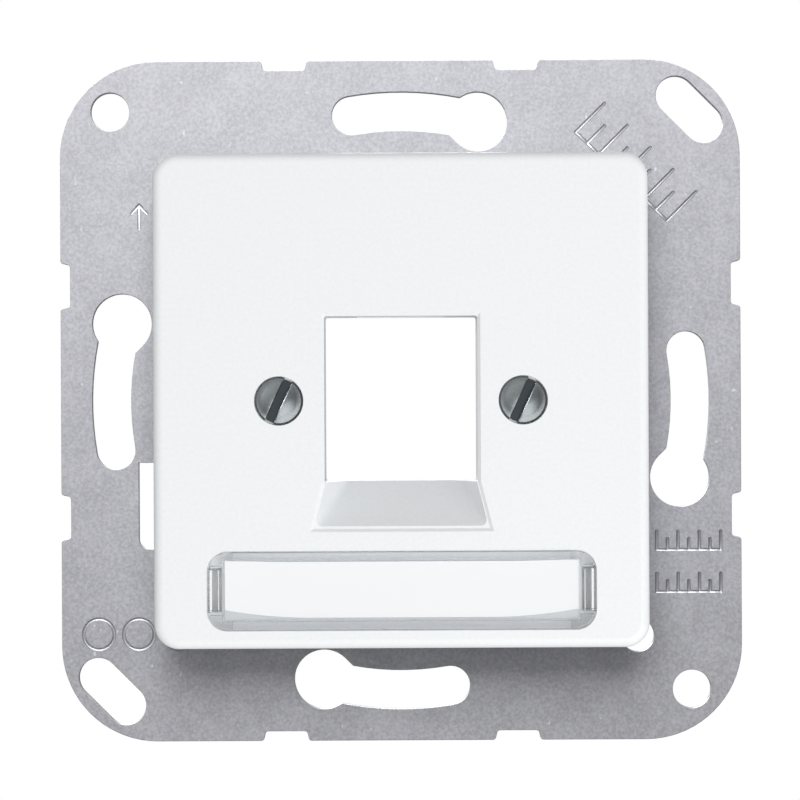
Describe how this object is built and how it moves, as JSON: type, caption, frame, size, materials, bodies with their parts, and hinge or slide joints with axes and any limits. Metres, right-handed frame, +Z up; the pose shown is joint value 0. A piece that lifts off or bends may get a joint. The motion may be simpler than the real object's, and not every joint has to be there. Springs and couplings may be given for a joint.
{
  "type": "communication outlet wall plate",
  "caption": "Square white outlet cover with an empty keystone port, slanted recess, clear label window and slotted screws, on a stamped steel support plate with keyhole slots.",
  "frame": {"origin": "centre of the support plate's back face, which lies on the wall", "axes": "+Z up, +X to the right as seen from the front, the front faces -Y into the room"},
  "size_m": [0.071, 0.0137, 0.071],
  "materials": {
    "zinc_plated_steel": "fine-grained matte zinc",
    "white_plastic": "smooth satin gloss",
    "clear_plastic": "clear, polished",
    "card": "plain white paper card",
    "screw_steel": "dull nickel-plated steel"
  },
  "bodies": {
    "base": {"support_plate": "zinc_plated_steel", "centre_cover": "white_plastic", "label_card": "card", "screw_left": "screw_steel", "screw_right": "screw_steel"},
    "window": {"label_window": "clear_plastic"}
  },
  "joints": [
    {"name": "window_pull", "type": "slide", "parent": "base", "child": "window", "axis": [0, -1, 0], "range_m": [0, 0.012]}
  ]
}
